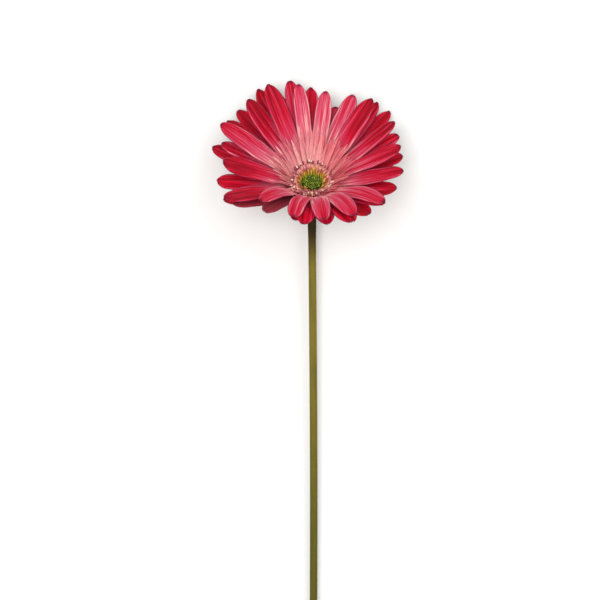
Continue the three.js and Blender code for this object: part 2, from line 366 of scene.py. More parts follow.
def ray_piece(name, ray, settings, rng, back_share):
    """One strap petal: ridged, a little wavy at its edges and faintly notched at its tip."""
    ROWS, COLUMNS = 56, 25
    whorl, azimuth, length, rise, droop, width, blush = ray
    line = ray_line(whorl, length, rise, droop)
    share = 1 - (1 - np.linspace(0, 1, ROWS)) ** 1.35
    lane = np.linspace(-1, 1, COLUMNS)
    u, v = np.meshgrid(share, lane, indexing="ij")

    blade = smooth((u - 0.12) / 0.4)
    tip = smooth((u - 0.88) / 0.12)
    notches = np.cos(v * math.pi * 3 + rng.uniform(-0.8, 0.8)) * rng.uniform(0.1, 0.5)
    along = length * u - tip * (rng.uniform(0.1, 0.5) * v**2 + notches + 0.3)
    radius, height, slope = (np.interp(along, line[0], values) for values in line[1:])
    across = half_width(width, np.minimum(u, 0.994), rng.uniform(2.1, 3.7)) * v
    bulges = np.sin(FULL_TURN * (u * rng.uniform(0.9, 1.9) + rng.random()) + 1.2 * v)
    across *= 1 + rng.uniform(0.02, 0.06) * bulges * blade

    lift = settings.ridge_depth * np.cos(FULL_TURN * RIDGES * v) * smooth((u - 0.05) / 0.3)
    lift += rng.uniform(-0.7, 0.3) * v**2 * blade
    for side in (-1, 1):
        edge = np.maximum(0, v * side) ** 2
        wave = np.sin(FULL_TURN * (u * rng.uniform(1.2, 2.4) + rng.random()))
        ripple = np.sin(FULL_TURN * (u * rng.uniform(4, 7) + rng.random())) * 0.3
        lift += settings.edge_wave * edge * (wave + ripple) * blade * 0.7
    lift += across * math.tan(math.radians(rng.uniform(-5, 5))) * blade
    bend = math.radians(rng.uniform(-1.2, 1.2)) * smooth(u)

    half = settings.thickness / 2 * (1 - 0.5 * v**2) * (1 - 0.35 * u)
    azimuths = math.radians(azimuth) + across / radius + bend
    grids = [
        head_points(radius - np.sin(slope) * offset, azimuths, height + np.cos(slope) * offset)
        for offset in (lift + half, lift - half)
    ]
    # Where a ray would sink into the surface, it rests on it.
    sunk = np.maximum(0, REST_HEIGHT * MM - np.minimum(grids[0][:, 2], grids[1][:, 2]))
    for grid in grids:
        grid[:, 2] += sunk
    count = ROWS * COLUMNS
    kinds = [v.ravel(), u.ravel(), np.full(count, blush)]
    grain = [across.ravel(), along.ravel(), np.full(count, rng.uniform(0, 900))]
    faces = [tuple(reversed(face)) for face in slab_faces(ROWS, COLUMNS)]
    attributes = {
        "blade": np.tile(np.stack(kinds, axis=1), (2, 1)),
        "grain": np.tile(np.stack(grain, axis=1), (2, 1)),
        "back": np.repeat([back_share, 1 - back_share], count),
    }
    return new_object(name, np.concatenate(grids), faces, attributes)


def add_rays(kind, rays, settings, material, seed):
    """All rays of a kind, each in place of its own CAD node."""
    for number, ray in enumerate(rays, start=1):
        node = f"{kind}_ray_{number:02d}"
        rng = random.Random(seed + number)
        piece = ray_piece(f"{node}_petal", ray, settings, rng, BACK_ON_TOP.get(node, 0))
        check_fit(piece, node)
        finish_piece(piece, [node], material)


# ---- Node trees ----


def add(tree, kind, *values, output=0, named=(), stops=(), **settings):
    """Adds a node with its settings and links, and gives one of its outputs if it has any. Its
    values are numbers, colours or sockets, in order or by name. Its stops are a ramp's."""
    node = tree.nodes.new(kind)
    for key, setting in settings.items():
        setattr(node, key, setting)
    for key, value in (*enumerate(values), *dict(named).items()):
        if isinstance(value, bpy.types.NodeSocket):
            tree.links.new(value, node.inputs[key])
        else:
            node.inputs[key].default_value = value
    if stops:
        elements = node.color_ramp.elements
        for _ in stops[len(elements) :]:
            elements.new(0.5)
        for element, (position, colour) in zip(elements, stops):
            element.position = position
            element.color = rgba(colour)
    return node.outputs[output] if node.outputs else None


def masked(tree, *masks):
    """The product of masks. Each is a socket, a number, or (value, low, high), which eases from
    0 to 1 and may have another start and end after it."""
    product = None
    for mask in masks:
        if isinstance(mask, tuple):
            eased = (*mask, 0.0, 1.0)[:5]
            mask = add(tree, "ShaderNodeMapRange", *eased, interpolation_type="SMOOTHSTEP")
        product = mask if product is None else add(tree, MATH, product, mask, operation="MULTIPLY")
    return product


def layered(tree, colour, *layers):
    """A colour with tints laid over it. Each layer is a tint and then a mask, or the numbers
    that make one."""
    for tint, *mask in layers:
        factor = masked(tree, tuple(mask) if len(mask) > 1 else mask[0])
        named = {0: factor, 6: rgba(colour), 7: rgba(tint)}
        colour = add(tree, "ShaderNodeMix", output=2, named=named, data_type="RGBA")
    return colour


def carried(tree, name):
    """The three numbers that a piece carries at each point under a name."""
    vector = add(tree, "ShaderNodeAttribute", output="Vector", attribute_name=name)
    return add(tree, "ShaderNodeSeparateXYZ", vector).node.outputs


def kind_and_tone(tree):
    """Which part of a floret a point is on, and the tone of its copy."""
    return (
        add(tree, "ShaderNodeAttribute", output="Fac", attribute_name=name)
        for name in ("kind", "tone")
    )


def grained(tree, vector, grains, detail=3.0):
    """Noise on a vector, with its grains to each of the vector's units along each axis."""
    scaled = add(tree, "ShaderNodeVectorMath", vector, grains, operation="MULTIPLY")
    named = {"Vector": scaled, "Scale": 1.0, "Detail": detail}
    return add(tree, "ShaderNodeTexNoise", named=named)


def speckled(tree, grains, detail=2.0):
    """Noise all over a piece, with its grains to the millimetre."""
    place = add(tree, "ShaderNodeTexCoord", output="Object")
    named = {"Vector": place, "Scale": grains / MM, "Detail": detail}
    return add(tree, "ShaderNodeTexNoise", named=named)


def sheen(weight, roughness, tint):
    return {"Sheen Weight": weight, "Sheen Roughness": roughness, "Sheen Tint": (*tint, 1)}


def flesh(weight, depth, radius):
    """Light that enters a surface, with its depth in millimetres."""
    names = ("Subsurface Weight", "Subsurface Scale", "Subsurface Radius")
    return dict(zip(names, (weight, depth * MM, radius)))


def new_material(name, roughness, *traits, specular=0.5):
    """A material and its tree, with the plain values of its principled shader set."""
    material = bpy.data.materials.new(name)
    material.use_nodes = True
    inputs = material.node_tree.nodes["Principled BSDF"].inputs
    for trait in ({"Roughness": roughness, "Specular IOR Level": specular}, *traits):
        for key, value in trait.items():
            inputs[key].default_value = value
    return material, material.node_tree


def painted(material, colour, height, strength, depth):
    """The material in a colour, with relief of a depth in millimetres."""
    tree = material.node_tree
    named = {"Height": height, "Strength": strength, "Distance": depth * MM}
    relief = add(tree, "ShaderNodeBump", named=named)
    inputs = tree.nodes["Principled BSDF"].inputs
    tree.links.new(colour, inputs["Base Color"])
    tree.links.new(relief, inputs["Normal"])
    return material


def petal_material(name, deep, body, settings):
    """Velvety strap petal: pale foot, streaks along the blade, painted shade in its grooves and
    along its edge, painted highlights on thin streaks and just inside its edge, duller back.
    """
    FADE = ((0.2, 0.97), (0.35, 0.78), (0.5, 0.48), (0.65, 0.26), (0.85, 0.1))
    soft = flesh(0.1, 0.8, (1.0, 0.15, 0.15))
    velvet = sheen(0.05, 0.35, (1.0, 0.25, 0.35))
    material, tree = new_material(name, 0.55, velvet, soft, specular=0.12)
    lane, share, blush = carried(tree, "blade")
    # The grain is in millimetres across and along the blade, so the stripes are 1.6 mm wide, the
    # streaks 0.7 mm and the veins 0.2 mm, which shows only close up. The grooves wander over 20
    # to 30 mm.
    grain = add(tree, "ShaderNodeAttribute", output="Vector", attribute_name="grain")
    stripes = grained(tree, grain, (0.62, 0.018, 1.0), 1.0)
    streaks = grained(tree, grain, (1.5, 0.05, 1.0))
    veins = grained(tree, grain, (5.0, 0.12, 1.0), 2.0)
    wander = grained(tree, grain, (0.05, 0.035, 1.0), 1.0)

    # How pale the petal is: its own blush, most at its foot, less towards its tip, in streaks.
    fade = add(tree, "ShaderNodeFloatCurve", named={"Value": share})
    curve = fade.node.mapping.curves[0]
    for at, level in FADE:
        curve.points.new(at, level)
    curve.points[0].location = (0, 1)
    curve.points[-1].location = (1, 0)
    paleness = add(tree, MATH, fade, 1.17, -0.49, operation="MULTIPLY_ADD")
    paleness = add(tree, MATH, paleness, blush, operation="ADD")
    noises = (wander, streaks, veins)
    swings = [add(tree, MATH, noise, 0.5, operation="SUBTRACT") for noise in noises]
    moved = add(tree, MATH, swings[0], 0.7, lane, operation="MULTIPLY_ADD")
    phase = add(tree, MATH, moved, FULL_TURN * RIDGES, operation="MULTIPLY")
    ridge = add(tree, MATH, phase, operation="COSINE")
    # Painted shade: darker in the grooves between the ridges, which follow the shape's own ridges
    # and wander a little off them.
    groove_shade = masked(tree, (ridge, -0.6, -1.0), (share, 0, 0.4), (streaks, 0.3, 0.65, 0.2, 1.0))
    middle = add(tree, MATH, lane, operation="ABSOLUTE")
    patterns = (
        (groove_shade, -0.75),
        (masked(tree, (stripes, 0.36, 0.64, -0.5, 0.5)), 0.9),
        # Painted highlight: thin paler lines along the blade, like lit ridges.
        (masked(tree, (streaks, 0.51, 0.64)), 0.8),
        (swings[1], 1.4),
        (swings[2], 1.0),
        # Painted highlight: a paler band just inside each edge, beyond the foot.
        (masked(tree, (middle, 0.72, 0.9), (share, 0.2, 0.5)), 1.0),
    )
    for pattern, amount in patterns:
        step = settings.streaks * amount
        paleness = add(tree, MATH, pattern, step, paleness, operation="MULTIPLY_ADD")
    stops = (
        (0.0, deep),
        (0.25, body),
        (0.45, settings.rose),
        (0.72, settings.pink),
        (0.95, settings.pale),
    )
    position = add(tree, MATH, paleness, 0.6, 0.25, operation="MULTIPLY_ADD")
    colour = add(tree, "ShaderNodeValToRGB", position, stops=stops)
    # Painted shade: a dark hairline along each edge and at the tip.
    rim = masked(tree, (middle, 0.88, 1.0, 0.0, 0.9), (share, 0.25, 0.6))
    tip = masked(tree, (share, 0.95, 1.0, 0.0, 0.8))
    edge = add(tree, MATH, rim, tip, operation="MAXIMUM")
    back = add(tree, "ShaderNodeAttribute", output="Fac", attribute_name="back")
    dull = masked(tree, back, 0.85)
    colour = layered(tree, colour, (settings.margin, edge), (settings.underside, dull))
    relief = add(tree, MATH, streaks, veins, operation="ADD")
    relief = add(tree, MATH, groove_shade, -0.8, relief, operation="MULTIPLY_ADD")
    return painted(material, colour, relief, 0.6, 0.3)


class GERBERA_OT_outer_rays(bpy.types.Operator):
    """Makes the crimson rays of the two lower whorls"""

    bl_idname = "gerbera.outer_rays"
    bl_label = "Outer rays"

    def execute(self, context):
        settings = context.scene.gerbera_rays
        shades = settings.outer_deep, settings.outer_body
        material = petal_material("Velvety crimson petal", *shades, settings)
        add_rays("outer", OUTER_RAYS, settings, material, seed=100)
        return {"FINISHED"}


class GERBERA_OT_inner_rays(bpy.types.Operator):
    """Makes the pinker rays of the two upper whorls"""

    bl_idname = "gerbera.inner_rays"
    bl_label = "Inner rays"

    def execute(self, context):
        settings = context.scene.gerbera_rays
        shades = settings.inner_deep, settings.inner_body
        material = petal_material("Velvety rose petal", *shades, settings)
        add_rays("inner", INNER_RAYS, settings, material, seed=200)
        return {"FINISHED"}


# ---- Florets that repeat ----


def growth_tree(name, *sizes):
    """An empty geometry-nodes tree with named inputs, and the sockets that give them."""
    tree = bpy.data.node_groups.new(name, "GeometryNodeTree")
    tree.is_modifier = True
    face = tree.interface
    face.new_socket("Geometry", in_out="OUTPUT", socket_type="NodeSocketGeometry")
    sockets = [("Template", "Object"), ("Finish", "Material"), ("Count", "Int"), ("Seed", "Int")]
    for label, kind in sockets + [(size, "Float") for size in sizes]:
        face.new_socket(label, in_out="INPUT", socket_type=f"NodeSocket{kind}")
    return tree, add(tree, "NodeGroupInput").node.outputs


def stand_copies(tree, given, turn, radius, height, lean, tilt, size):
    """Stands copies about the axis, gives each a tone of its own, and ends in real faces."""
    waves = [add(tree, MATH, turn, operation=wave) for wave in ("SINE", "COSINE")]
    sides = [add(tree, MATH, wave, radius, operation="MULTIPLY") for wave in waves]
    place = add(tree, "ShaderNodeCombineXYZ", *sides, height)
    named = {"Count": given["Count"], "Position": place}
    points = add(tree, "GeometryNodePoints", named=named)
    named = {"Object": given["Template"]}
    template = add(tree, "GeometryNodeObjectInfo", output="Geometry", named=named)
    heading = add(tree, MATH, turn, -1.0, operation="MULTIPLY")
    facing = add(tree, "ShaderNodeCombineXYZ", lean, tilt, heading)
    named = {"Points": points, "Instance": template, "Rotation": facing, "Scale": size}
    copies = add(tree, "GeometryNodeInstanceOnPoints", named=named)
    named = {2: 0.0, 3: 1.0, "Seed": given["Seed"]}
    tone = add(tree, "FunctionNodeRandomValue", output=1, named=named, data_type="FLOAT")
    toned = add(
        tree,
        "GeometryNodeStoreNamedAttribute",
        named={"Geometry": copies, "Name": "tone", "Value": tone},
        data_type="FLOAT",
        domain="INSTANCE",
    )
    real = add(tree, "GeometryNodeRealizeInstances", toned)
    named = {"Geometry": real, "Material": given["Finish"]}
    finished = add(tree, "GeometryNodeSetMaterial", named=named)
    add(tree, "NodeGroupOutput", finished)
    return tree


def ring_tree():
    """Geometry nodes that stand copies of a floret in a ring about the flower's axis."""
    sizes = ("Radius", "Height", "Start", "Lean", "Lean Spread", "Turn Spread", "Size Spread")
    tree, given = growth_tree("Ring of florets", *sizes, "Near Lean", "Near Size")

    def spread(name, offset):
        low = add(tree, MATH, given[name], -1.0, operation="MULTIPLY")
        seed = add(tree, MATH, given["Seed"], offset, operation="ADD")
        named = {2: low, 3: given[name], "Seed": seed}
        return add(tree, "FunctionNodeRandomValue", output=1, named=named, data_type="FLOAT")

    index = add(tree, "GeometryNodeInputIndex")
    turn = add(tree, MATH, index, FULL_TURN, operation="MULTIPLY")
    turn = add(tree, MATH, turn, given["Count"], operation="DIVIDE")
    for more in (given["Start"], spread("Turn Spread", 1)):
        turn = add(tree, MATH, turn, more, operation="ADD")
    nearness = masked(tree, (add(tree, MATH, turn, operation="COSINE"), 0.2, -0.8))
    lean = add(tree, MATH, given["Lean"], spread("Lean Spread", 2), operation="ADD")
    lean = add(tree, MATH, nearness, given["Near Lean"], lean, operation="MULTIPLY_ADD")
    smaller = add(tree, MATH, nearness, given["Near Size"], 1.0, operation="MULTIPLY_ADD")
    size = add(tree, MATH, spread("Size Spread", 4), 1.0, operation="ADD")
    size = add(tree, MATH, size, smaller, operation="MULTIPLY")
    tilt = spread("Lean Spread", 3)
    return stand_copies(tree, given, turn, given["Radius"], given["Height"], lean, tilt, size)


def bud_tree():
    """Geometry nodes that pack buds over a low dome in the spiral of a sunflower's seeds."""
    GOLDEN_TURN = math.radians(137.508)
    sizes = ("Radius", "Middle Height", "Rim Height", "Height Spread", "Rim Lean")
    tree, given = growth_tree("Spiral of buds", *sizes, "Middle Size", "Rim Size")
    index = add(tree, "GeometryNodeInputIndex")
    share = add(tree, MATH, index, 0.5, operation="ADD")
    share = add(tree, MATH, share, given["Count"], operation="DIVIDE")
    out = add(tree, MATH, share, operation="SQRT")
    turn = add(tree, MATH, index, GOLDEN_TURN, operation="MULTIPLY")
    radius = add(tree, MATH, out, given["Radius"], operation="MULTIPLY")
    lean = add(tree, MATH, out, given["Rim Lean"], operation="MULTIPLY")
    named = {0: share, 3: given["Middle Height"], 4: given["Rim Height"]}
    height = add(tree, "ShaderNodeMapRange", named=named)
    named = {2: 0.0, 3: given["Height Spread"], "Seed": given["Seed"]}
    uneven = add(tree, "FunctionNodeRandomValue", output=1, named=named, data_type="FLOAT")
    height = add(tree, MATH, height, uneven, operation="ADD")
    named = {0: out, 3: given["Middle Size"], 4: given["Rim Size"]}
    size = add(tree, "ShaderNodeMapRange", named=named)
    return stand_copies(tree, given, turn, radius, height, lean, 0.0, size)


def grown(name, tree, inputs):
    """The plain mesh that a geometry-nodes tree makes from its inputs, put in the head."""
    base = new_object(f"{name}_base", [], [])
    modifier = base.modifiers.new("Growth", "NODES")
    modifier.node_group = tree
    for item in tree.interface.items_tree:
        if item.in_out == "INPUT":
            modifier[item.identifier] = inputs[item.name]
    depsgraph = bpy.context.evaluated_depsgraph_get()
    mesh = bpy.data.meshes.new_from_object(base.evaluated_get(depsgraph), depsgraph=depsgraph)
    # The first slot is the empty one of a template without a material.
    mesh.materials.pop(index=0)
    mesh.name = name
    mesh.transform(HEAD)
    bpy.data.objects.remove(base)
    piece = bpy.data.objects.new(name, mesh)
    bpy.context.scene.collection.objects.link(piece)
    return piece


def joined(name, parts):
    """One object from several, with their places kept."""
    first = parts[0]
    if len(parts) > 1:
        with bpy.context.temp_override(
            active_object=first, selected_editable_objects=parts, object=first
        ):
            bpy.ops.object.join()
    first.name = name
    first.data.name = name
    return first


def ringed(name, template, material, count, places, spreads, seed, **options):
    """One piece from rings of a template. Each place is (radius, height, lean, near lean, size
    spread), in millimetres and degrees. The options are start and step, where the first ring
    starts and how far each ring is turned from the last as shares of a gap, fewer, how many
    copies each ring lacks of the last, and near_size, how much larger the near side is."""
    option = {"start": 0.0, "step": 0.5, "fewer": 0, "near_size": 0.0, **options}
    tree = ring_tree()
    rings = []
    for ring, (radius, height, lean, near_lean, size) in enumerate(places):
        gaps = option["start"] + option["step"] * ring
        inputs = {
            "Template": template,
            "Finish": material,
            "Count": count - option["fewer"] * ring,
            "Seed": seed + ring,
            "Radius": radius * MM,
            "Height": height * MM,
            "Start": FULL_TURN / count * gaps,
            "Lean": math.radians(lean),
            "Lean Spread": math.radians(spreads[0]),
            "Turn Spread": math.radians(spreads[1]),
            "Size Spread": size,
            "Near Lean": math.radians(near_lean),
            "Near Size": option["near_size"],
        }
        rings.append(grown(f"{name}_{ring}", tree, inputs))
    bpy.data.objects.remove(template)
    return joined(name, rings)


def blade_template(name, line, widths, thickness, fold, rows=12, columns=5):
    """A small leaf from its foot at the origin, outwards along +Y. Its line is (out, up) points
    in millimetres, its widths are half widths at even shares, and fold lifts its edges."""
    line = np.array(line, dtype=float)
    knots = np.linspace(0, 1, len(line))
    share = np.linspace(0, 1, rows)
    out, up = (np.interp(share, knots, softened(line[:, i])) for i in (0, 1))
    slope = np.arctan2(np.gradient(up), np.gradient(out))
    half = np.interp(share, np.linspace(0, 1, len(widths)), widths)[:, None]
    u, v = np.meshgrid(share, np.linspace(-1, 1, columns), indexing="ij")
    lift = fold * np.abs(v) ** 1.5 * half
    grids = []
    for sign in (1, -1):
        offset = lift + sign * thickness / 2 * (1 - 0.4 * v**2)
        outs = out[:, None] - np.sin(slope)[:, None] * offset
        ups = up[:, None] + np.cos(slope)[:, None] * offset
        grids.append(np.stack([half * v, outs, ups], axis=-1).reshape(-1, 3))
    values = np.stack([v.ravel(), u.ravel(), np.zeros(rows * columns)], axis=1)
    faces = slab_faces(rows, columns)
    return new_object(name, np.concatenate(grids) * MM, faces, {"blade": np.tile(values, (2, 1))})


def softened(values):
    """Values with their inner corners eased a little."""
    eased = values.copy()
    eased[1:-1] = values[1:-1] * 0.5 + (values[:-2] + values[2:]) * 0.25
    return eased


def stem_rings(line, radii, sides):
    """Rings of points round a line of (out, up) points in the YZ plane, in millimetres."""
    line = np.array(line, dtype=float)
    slope = np.arctan2(np.gradient(line[:, 1]), np.gradient(line[:, 0]))
    turn = np.arange(sides) * FULL_TURN / sides
    rings = []
    for (out, up), angle, radius in zip(line, slope, radii):
        outs = out - math.sin(angle) * radius * np.sin(turn)
        ups = up + math.cos(angle) * radius * np.sin(turn)
        rings.append(np.stack([radius * np.cos(turn), outs, ups], axis=1))
    return np.concatenate(rings)


# ---- Short rays ----


def short_ray_material(settings, rays):
    """Silky short ray: salmon at its foot and rosy towards its tip, with a hairline crease. Some
    tips on the head's left are nearly white. On its right and near sides, where they lie in shade,
    painted light makes them a deeper, brighter pink."""
    soft = flesh(0.2, 0.8, (1.0, 0.4, 0.35))
    silk = sheen(0.1, 0.4, (1.0, 0.7, 0.7))
    material, tree = new_material("Pale silky short ray", 0.55, silk, soft, specular=0.15)
    lane, share, _ = carried(tree, "blade")
    place = add(tree, "ShaderNodeTexCoord", output="Object")
    across, upright, _ = add(tree, "ShaderNodeSeparateXYZ", place).node.outputs
    # Speckles of 1.4 mm, coarse enough to show.
    speckle = speckled(tree, 0.7)
    _, tone = kind_and_tone(tree)
    pale = layered(tree, "#fcbab2", ("#f49a9e", tone, 0.0, 1.0))
    tip = masked(tree, (share, 0.5, 1.0))
    blush = add(tree, MATH, tone, 0.5, 0.4, operation="MULTIPLY_ADD")
    near = HEAD.translation.y + 2 * MM, HEAD.translation.y - 5 * MM
    left = masked(tree, (across, -3 * MM, -12 * MM), tip)
    colour = layered(
        tree,
        settings.short_ray_colour,
        (pale, share, 0.0, 0.5),
        (rays.pink, masked(tree, blush, tip)),
        # Painted light: a deeper, brighter pink on the near side, where the short rays lie in
        # shade.
        ("#f0505c", upright, *near, 0.0, 0.5),
        ("#ffc4c0", masked(tree, (tone, 0.45, 0.2), left)),
        # Painted light: a deeper, brighter pink on the head's right, where the short rays lie in
        # shade.
        ("#f06a74", across, 3 * MM, 12 * MM, 0.0, 0.5),
        (rays.pink, speckle, 0.45, 0.7, 0.0, 0.35),
        (rays.rose, add(tree, MATH, lane, operation="ABSOLUTE"), 0.0, 0.25, 0.4, 0.0),
    )
    return painted(material, colour, speckle, 0.3, 0.1)


class GERBERA_OT_short_rays(bpy.types.Operator):
    """Makes the rings of short pale rays round the disc"""

    bl_idname = "gerbera.short_rays"
    bl_label = "Short rays"

    def execute(self, context):
        settings = context.scene.gerbera_disc
        line = [(0, 0), (1.4, 3.2), (4.4, 7.8), (9.0, 13.4), (14.4, 18.8)]
        widths = [0.5, 0.75, 0.95, 1.1, 1.15, 1.15, 1.0, 0.65, 0.1]
        piece = ringed(
            "short_pale_rays",
            blade_template("short_ray_template", line, widths, 0.24, 0.5, rows=9, columns=3),
            short_ray_material(settings, context.scene.gerbera_rays),
            settings.short_rays,
            [
                (9.5, 0.9, -2, -2, 0.08),
                (9.3, 0.9, 1, -5, 0.14),
                (9.1, 0.9, 4, -8, 0.2),
                (8.9, 0.9, 7, -11, 0.24),
            ],
            (4, 3),
            seed=31,
            step=0.25,
            near_size=-0.44,
        )
        finish_piece(piece, ["short_rays"])
        return {"FINISHED"}


# ---- Disc florets ----


def open_floret_template():
    """A narrow tube that flares into five pale lips round a dark column."""
    SIDES, LIPS = 6, 5
    tube_line = [(0, 0), (0.4, 2.8), (1.5, 5.4), (3.1, 6.9)]
    tube = stem_rings(tube_line, [0.34, 0.42, 0.5, 0.72], SIDES)
    column_line = [(2.4, 6.3), (3.8, 7.6), (4.0, 7.8), (4.6, 8.4), (4.9, 8.7)]
    column = stem_rings(column_line, [0.32, 0.4, 0.58, 0.54, 0.16], 5)
    points = [tube, column]
    faces = tube_faces(4, SIDES)
    faces += [tuple(len(tube) + corner for corner in face) for face in tube_faces(5, 5)]
    # The kind is below 1 on the tube, 1 on the lips, 2 on the column and 3 at its tip.
    kinds = [np.repeat([0.0, 0.2, 0.5, 0.9], SIDES), np.repeat([2.0, 2.0, 3.0, 3.0, 3.0], 5)]
    base = len(tube) + len(column)
    centre = np.array([0, 3.1, 6.9])
    outward = np.array([0, math.cos(0.75), math.sin(0.75)])
    sideways = np.array([1.0, 0, 0])
    upward = np.cross(sideways, outward)
    corners = [(0, 1, 2, 3), (3, 2, 4), (0, 3, 4, 5), (1, 5, 4, 2), (0, 5, 1)]
    for lip in range(LIPS):
        turn = FULL_TURN * (lip + 0.5) / LIPS
        spoke = sideways * math.cos(turn) + upward * math.sin(turn)
        across = -sideways * math.sin(turn) + upward * math.cos(turn)
        foot = centre + spoke * 0.62
        end = centre + spoke * 1.15 + outward * 0.3
        tip = centre + spoke * 1.15 - outward * 0.25
        feet = [foot + across * 0.34, foot - across * 0.34]
        ends = [end - across * 0.3, end + across * 0.3]
        points.append(np.array([*feet, *ends, tip, foot - outward * 0.3]))
        kinds.append(np.full(6, 1.0))
        faces += [tuple(base + corner for corner in reversed(face)) for face in corners]
        base += 6
    vertices = np.concatenate(points) * MM
    return new_object("open_floret_template", vertices, faces, {"kind": np.concatenate(kinds)})


def golden_floret_template():
    """A slim upright floret that swells into a blunt, closed tip."""
    SIDES = 6
    line = [(0, 0), (0.25, 1.9), (0.9, 4.0), (1.75, 5.5), (2.3, 6.3), (2.5, 6.55)]
    points = stem_rings(line, [0.3, 0.34, 0.36, 0.46, 0.4, 0.12], SIDES)
    kind = np.repeat([0, 0.3, 0.6, 0.85, 0.96, 1.0], SIDES)
    faces = tube_faces(len(line), SIDES)
    return new_object("golden_floret_template", points * MM, faces, {"kind": kind})


def open_floret_material(settings):
    """Rose tube, pink lips and a wine-red anther column, most of them tipped with cream pollen.
    The florets of the far side have shed more of theirs."""
    soft = flesh(0.15, 0.6, (1.0, 0.5, 0.4))
    material, tree = new_material("Pale lip and dark throat of a floret", 0.45, soft)
    kind, tone = kind_and_tone(tree)
    place = add(tree, "ShaderNodeTexCoord", output="Object")
    upright = add(tree, "ShaderNodeSeparateXYZ", place, output=1)
    # Speckles of 0.5 mm, which show only close up.
    speckle = speckled(tree, 2.2)
    far = HEAD.translation.y - 1 * MM, HEAD.translation.y + 5 * MM
    bare = add(tree, MATH, tone, masked(tree, (upright, *far, 0.0, 0.35)), operation="ADD")
    colour = layered(
        tree,
        "#a83a52",
        (layered(tree, settings.lip_colour, ("#e08a92", tone)), kind, 0.1, 0.9),
        (settings.anther_colour, kind, 1.2, 1.8),
        (layered(tree, settings.pollen_colour, ("#a0405c", bare, 0.6, 0.65)), kind, 2.4, 2.6),
        ("#b8505f", speckle, 0.5, 0.75, 0.0, 0.3),
    )
    return painted(material, colour, speckle, 0.3, 0.08)


def golden_floret_material(settings):
    """Greenish foot, golden tube and a rusty tip dusted with pollen."""
    soft = flesh(0.15, 0.6, (1.0, 0.7, 0.2))
    material, tree = new_material("Golden floret dusted with pollen", 0.55, soft)
    kind, tone = kind_and_tone(tree)
    # Grains of 0.4 mm, far coarser than real pollen. Even so they show only close up.
    pollen = speckled(tree, 2.6)
    stops = (0.0, "#7d9018"), (0.4, "#b8b430"), (0.75, settings.gold_colour), (1.0, "#e0a45c")
    rusty = masked(tree, (tone, 0.2, 0.6), (kind, 0.45, 0.9), 0.9)
    colour = layered(
        tree,
        add(tree, "ShaderNodeValToRGB", kind, stops=stops),
        ("#a83c2c", rusty),
        ("#f8e08a", pollen, 0.55, 0.75, 0.0, 0.6),
    )
    return painted(material, colour, pollen, 0.4, 0.08)


class GERBERA_OT_disc_florets(bpy.types.Operator):
    """Makes the open florets on the disc's rim and the golden ones that line its crater"""

    bl_idname = "gerbera.disc_florets"
    bl_label = "Disc florets"

    def execute(self, context):
        settings = context.scene.gerbera_disc
        piece = ringed(
            "open_disc_florets",
            open_floret_template(),
            open_floret_material(settings),
            settings.open_florets,
            [(8.6, 0.9, 3, -13, 0.05), (8.3, 0.9, 7, -13, 0.1)],
            (5, 2),
            seed=50 + settings.open_florets,
            fewer=1,
        )
        finish_piece(piece, ["outer_disc_florets"])
        piece = ringed(
            "golden_disc_florets",
            golden_floret_template(),
            golden_floret_material(settings),
            settings.golden_florets,
            [(7.7, 0.7, -4, -8, 0.06), (7.1, 0.5, 2, -8, 0.1), (6.4, 0.3, 8, -8, 0.14)],
            (5, 2),
            seed=50 + settings.golden_florets,
            fewer=1,
        )
        finish_piece(piece, ["inner_disc_florets"])
        return {"FINISHED"}


# ---- Buds ----


def bud_template():
    """A small five-sided bud with a pinched top."""
    SIDES = 5
    radii = [0.5, 0.66, 0.6, 0.36, 0.08]
    ups = [-0.9, -0.2, 0.35, 0.7, 0.66]
    turn = np.arange(SIDES) * FULL_TURN / SIDES
    rings = [
        np.stack([r * np.cos(turn), r * np.sin(turn), np.full(SIDES, up)], axis=1)
        for r, up in zip(radii, ups)
    ]
    kind = np.repeat(np.linspace(0, 1, len(radii)), SIDES)
    faces = tube_faces(len(radii), SIDES)
    return new_object("bud_template", np.concatenate(rings) * MM, faces, {"kind": kind})


def bud_material(settings):
    """Fresh green bud, with painted shade low down between its neighbours and a painted
    yellow-green highlight near its tip.
    """
    material, tree = new_material("Fresh green bud", 0.42, flesh(0.1, 0.6, (0.5, 1.0, 0.2)))
    kind, tone = kind_and_tone(tree)
    # From foot to tip: painted shade at the foot between its neighbours, its green, a band of
    # painted yellow-green highlight, and olive at the very tip.
    stops = (
        (0.0, "#142c03"),
        (0.45, "#2c4a06"),
        (0.7, settings.bud_colour),
        (0.88, "#b0bc34"),
        (1.0, "#6a8410"),
    )
    # Speckles of 0.3 mm, which show only close up.
    speckle = speckled(tree, 3.0)
    colour = layered(
        tree,
        add(tree, "ShaderNodeValToRGB", kind, stops=stops),
        ("#1f4a06", tone, 0.5, 0.1, 0.0, 0.6),
        ("#b4bc24", tone, 0.7, 0.95, 0.0, 0.6),
        ("#b9b45a", speckle, 0.55, 0.8, 0.0, 0.4),
    )
    return painted(material, colour, speckle, 0.3, 0.06)


class GERBERA_OT_buds(bpy.types.Operator):
    """Packs the closed buds at the heart of the disc"""

    bl_idname = "gerbera.buds"
    bl_label = "Buds"

    def execute(self, context):
        settings = context.scene.gerbera_disc
        template = bud_template()
        inputs = {
            "Template": template,
            "Finish": bud_material(settings),
            "Count": settings.buds,
            "Seed": 7,
            "Radius": 5.5 * MM,
            "Middle Height": 3.9 * MM,
            "Rim Height": 3.4 * MM,
            "Height Spread": 0.7 * MM,
            "Rim Lean": math.radians(-22),
            "Middle Size": 0.75,
            "Rim Size": 0.95,
        }
        piece = grown("closed_disc_buds", bud_tree(), inputs)
        bpy.data.objects.remove(template)
        finish_piece(piece, ["disc_buds"])
        return {"FINISHED"}


# ---- Bracts, receptacle and stalk ----


